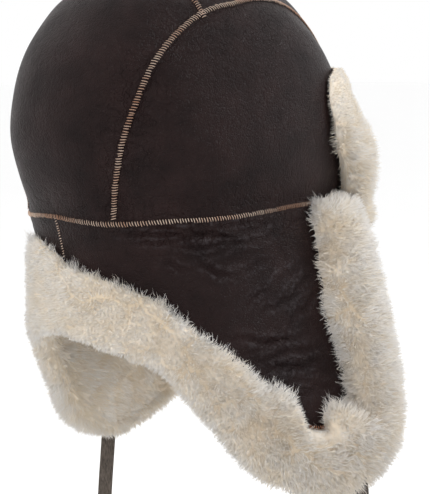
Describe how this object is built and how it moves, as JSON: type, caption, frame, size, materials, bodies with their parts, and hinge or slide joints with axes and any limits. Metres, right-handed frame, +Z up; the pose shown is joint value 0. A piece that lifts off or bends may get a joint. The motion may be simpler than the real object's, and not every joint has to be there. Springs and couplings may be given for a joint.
{
  "type": "leather flying helmet",
  "caption": "Shearling flying helmet with a panelled leather crown, turned-up front flap, long ear flaps with deep wool trim, and leather ties.",
  "frame": {"origin": "top of the hollow, where the crown sits on a head", "axes": "+Z up through the top of the crown, -Y the way the face looks, +X the wearer's left"},
  "size_m": [0.2738, 0.2487, 0.5043],
  "materials": {
    "hide": "dark brown waxed sheepskin, soft gloss, fine grain",
    "wool": "cream sheep's wool, clipped, matt",
    "tie_leather": "grey-brown suede, matt",
    "thread": "beige and rust sewing thread"
  },
  "bodies": {
    "root": {"crown_back": "hide", "crown_front": "hide", "crown_side_right": "hide", "crown_side_left": "hide", "crown_wool": "wool", "ear_panel_right": "hide", "ear_panel_left": "hide", "flap_wool_right": "wool", "flap_wool_left": "wool", "trim_fur_right": "wool", "trim_fur_left": "wool", "tie_right": "tie_leather", "tie_left": "tie_leather", "front_flap": "hide", "front_flap_fur": "wool"}
  },
  "joints": []
}
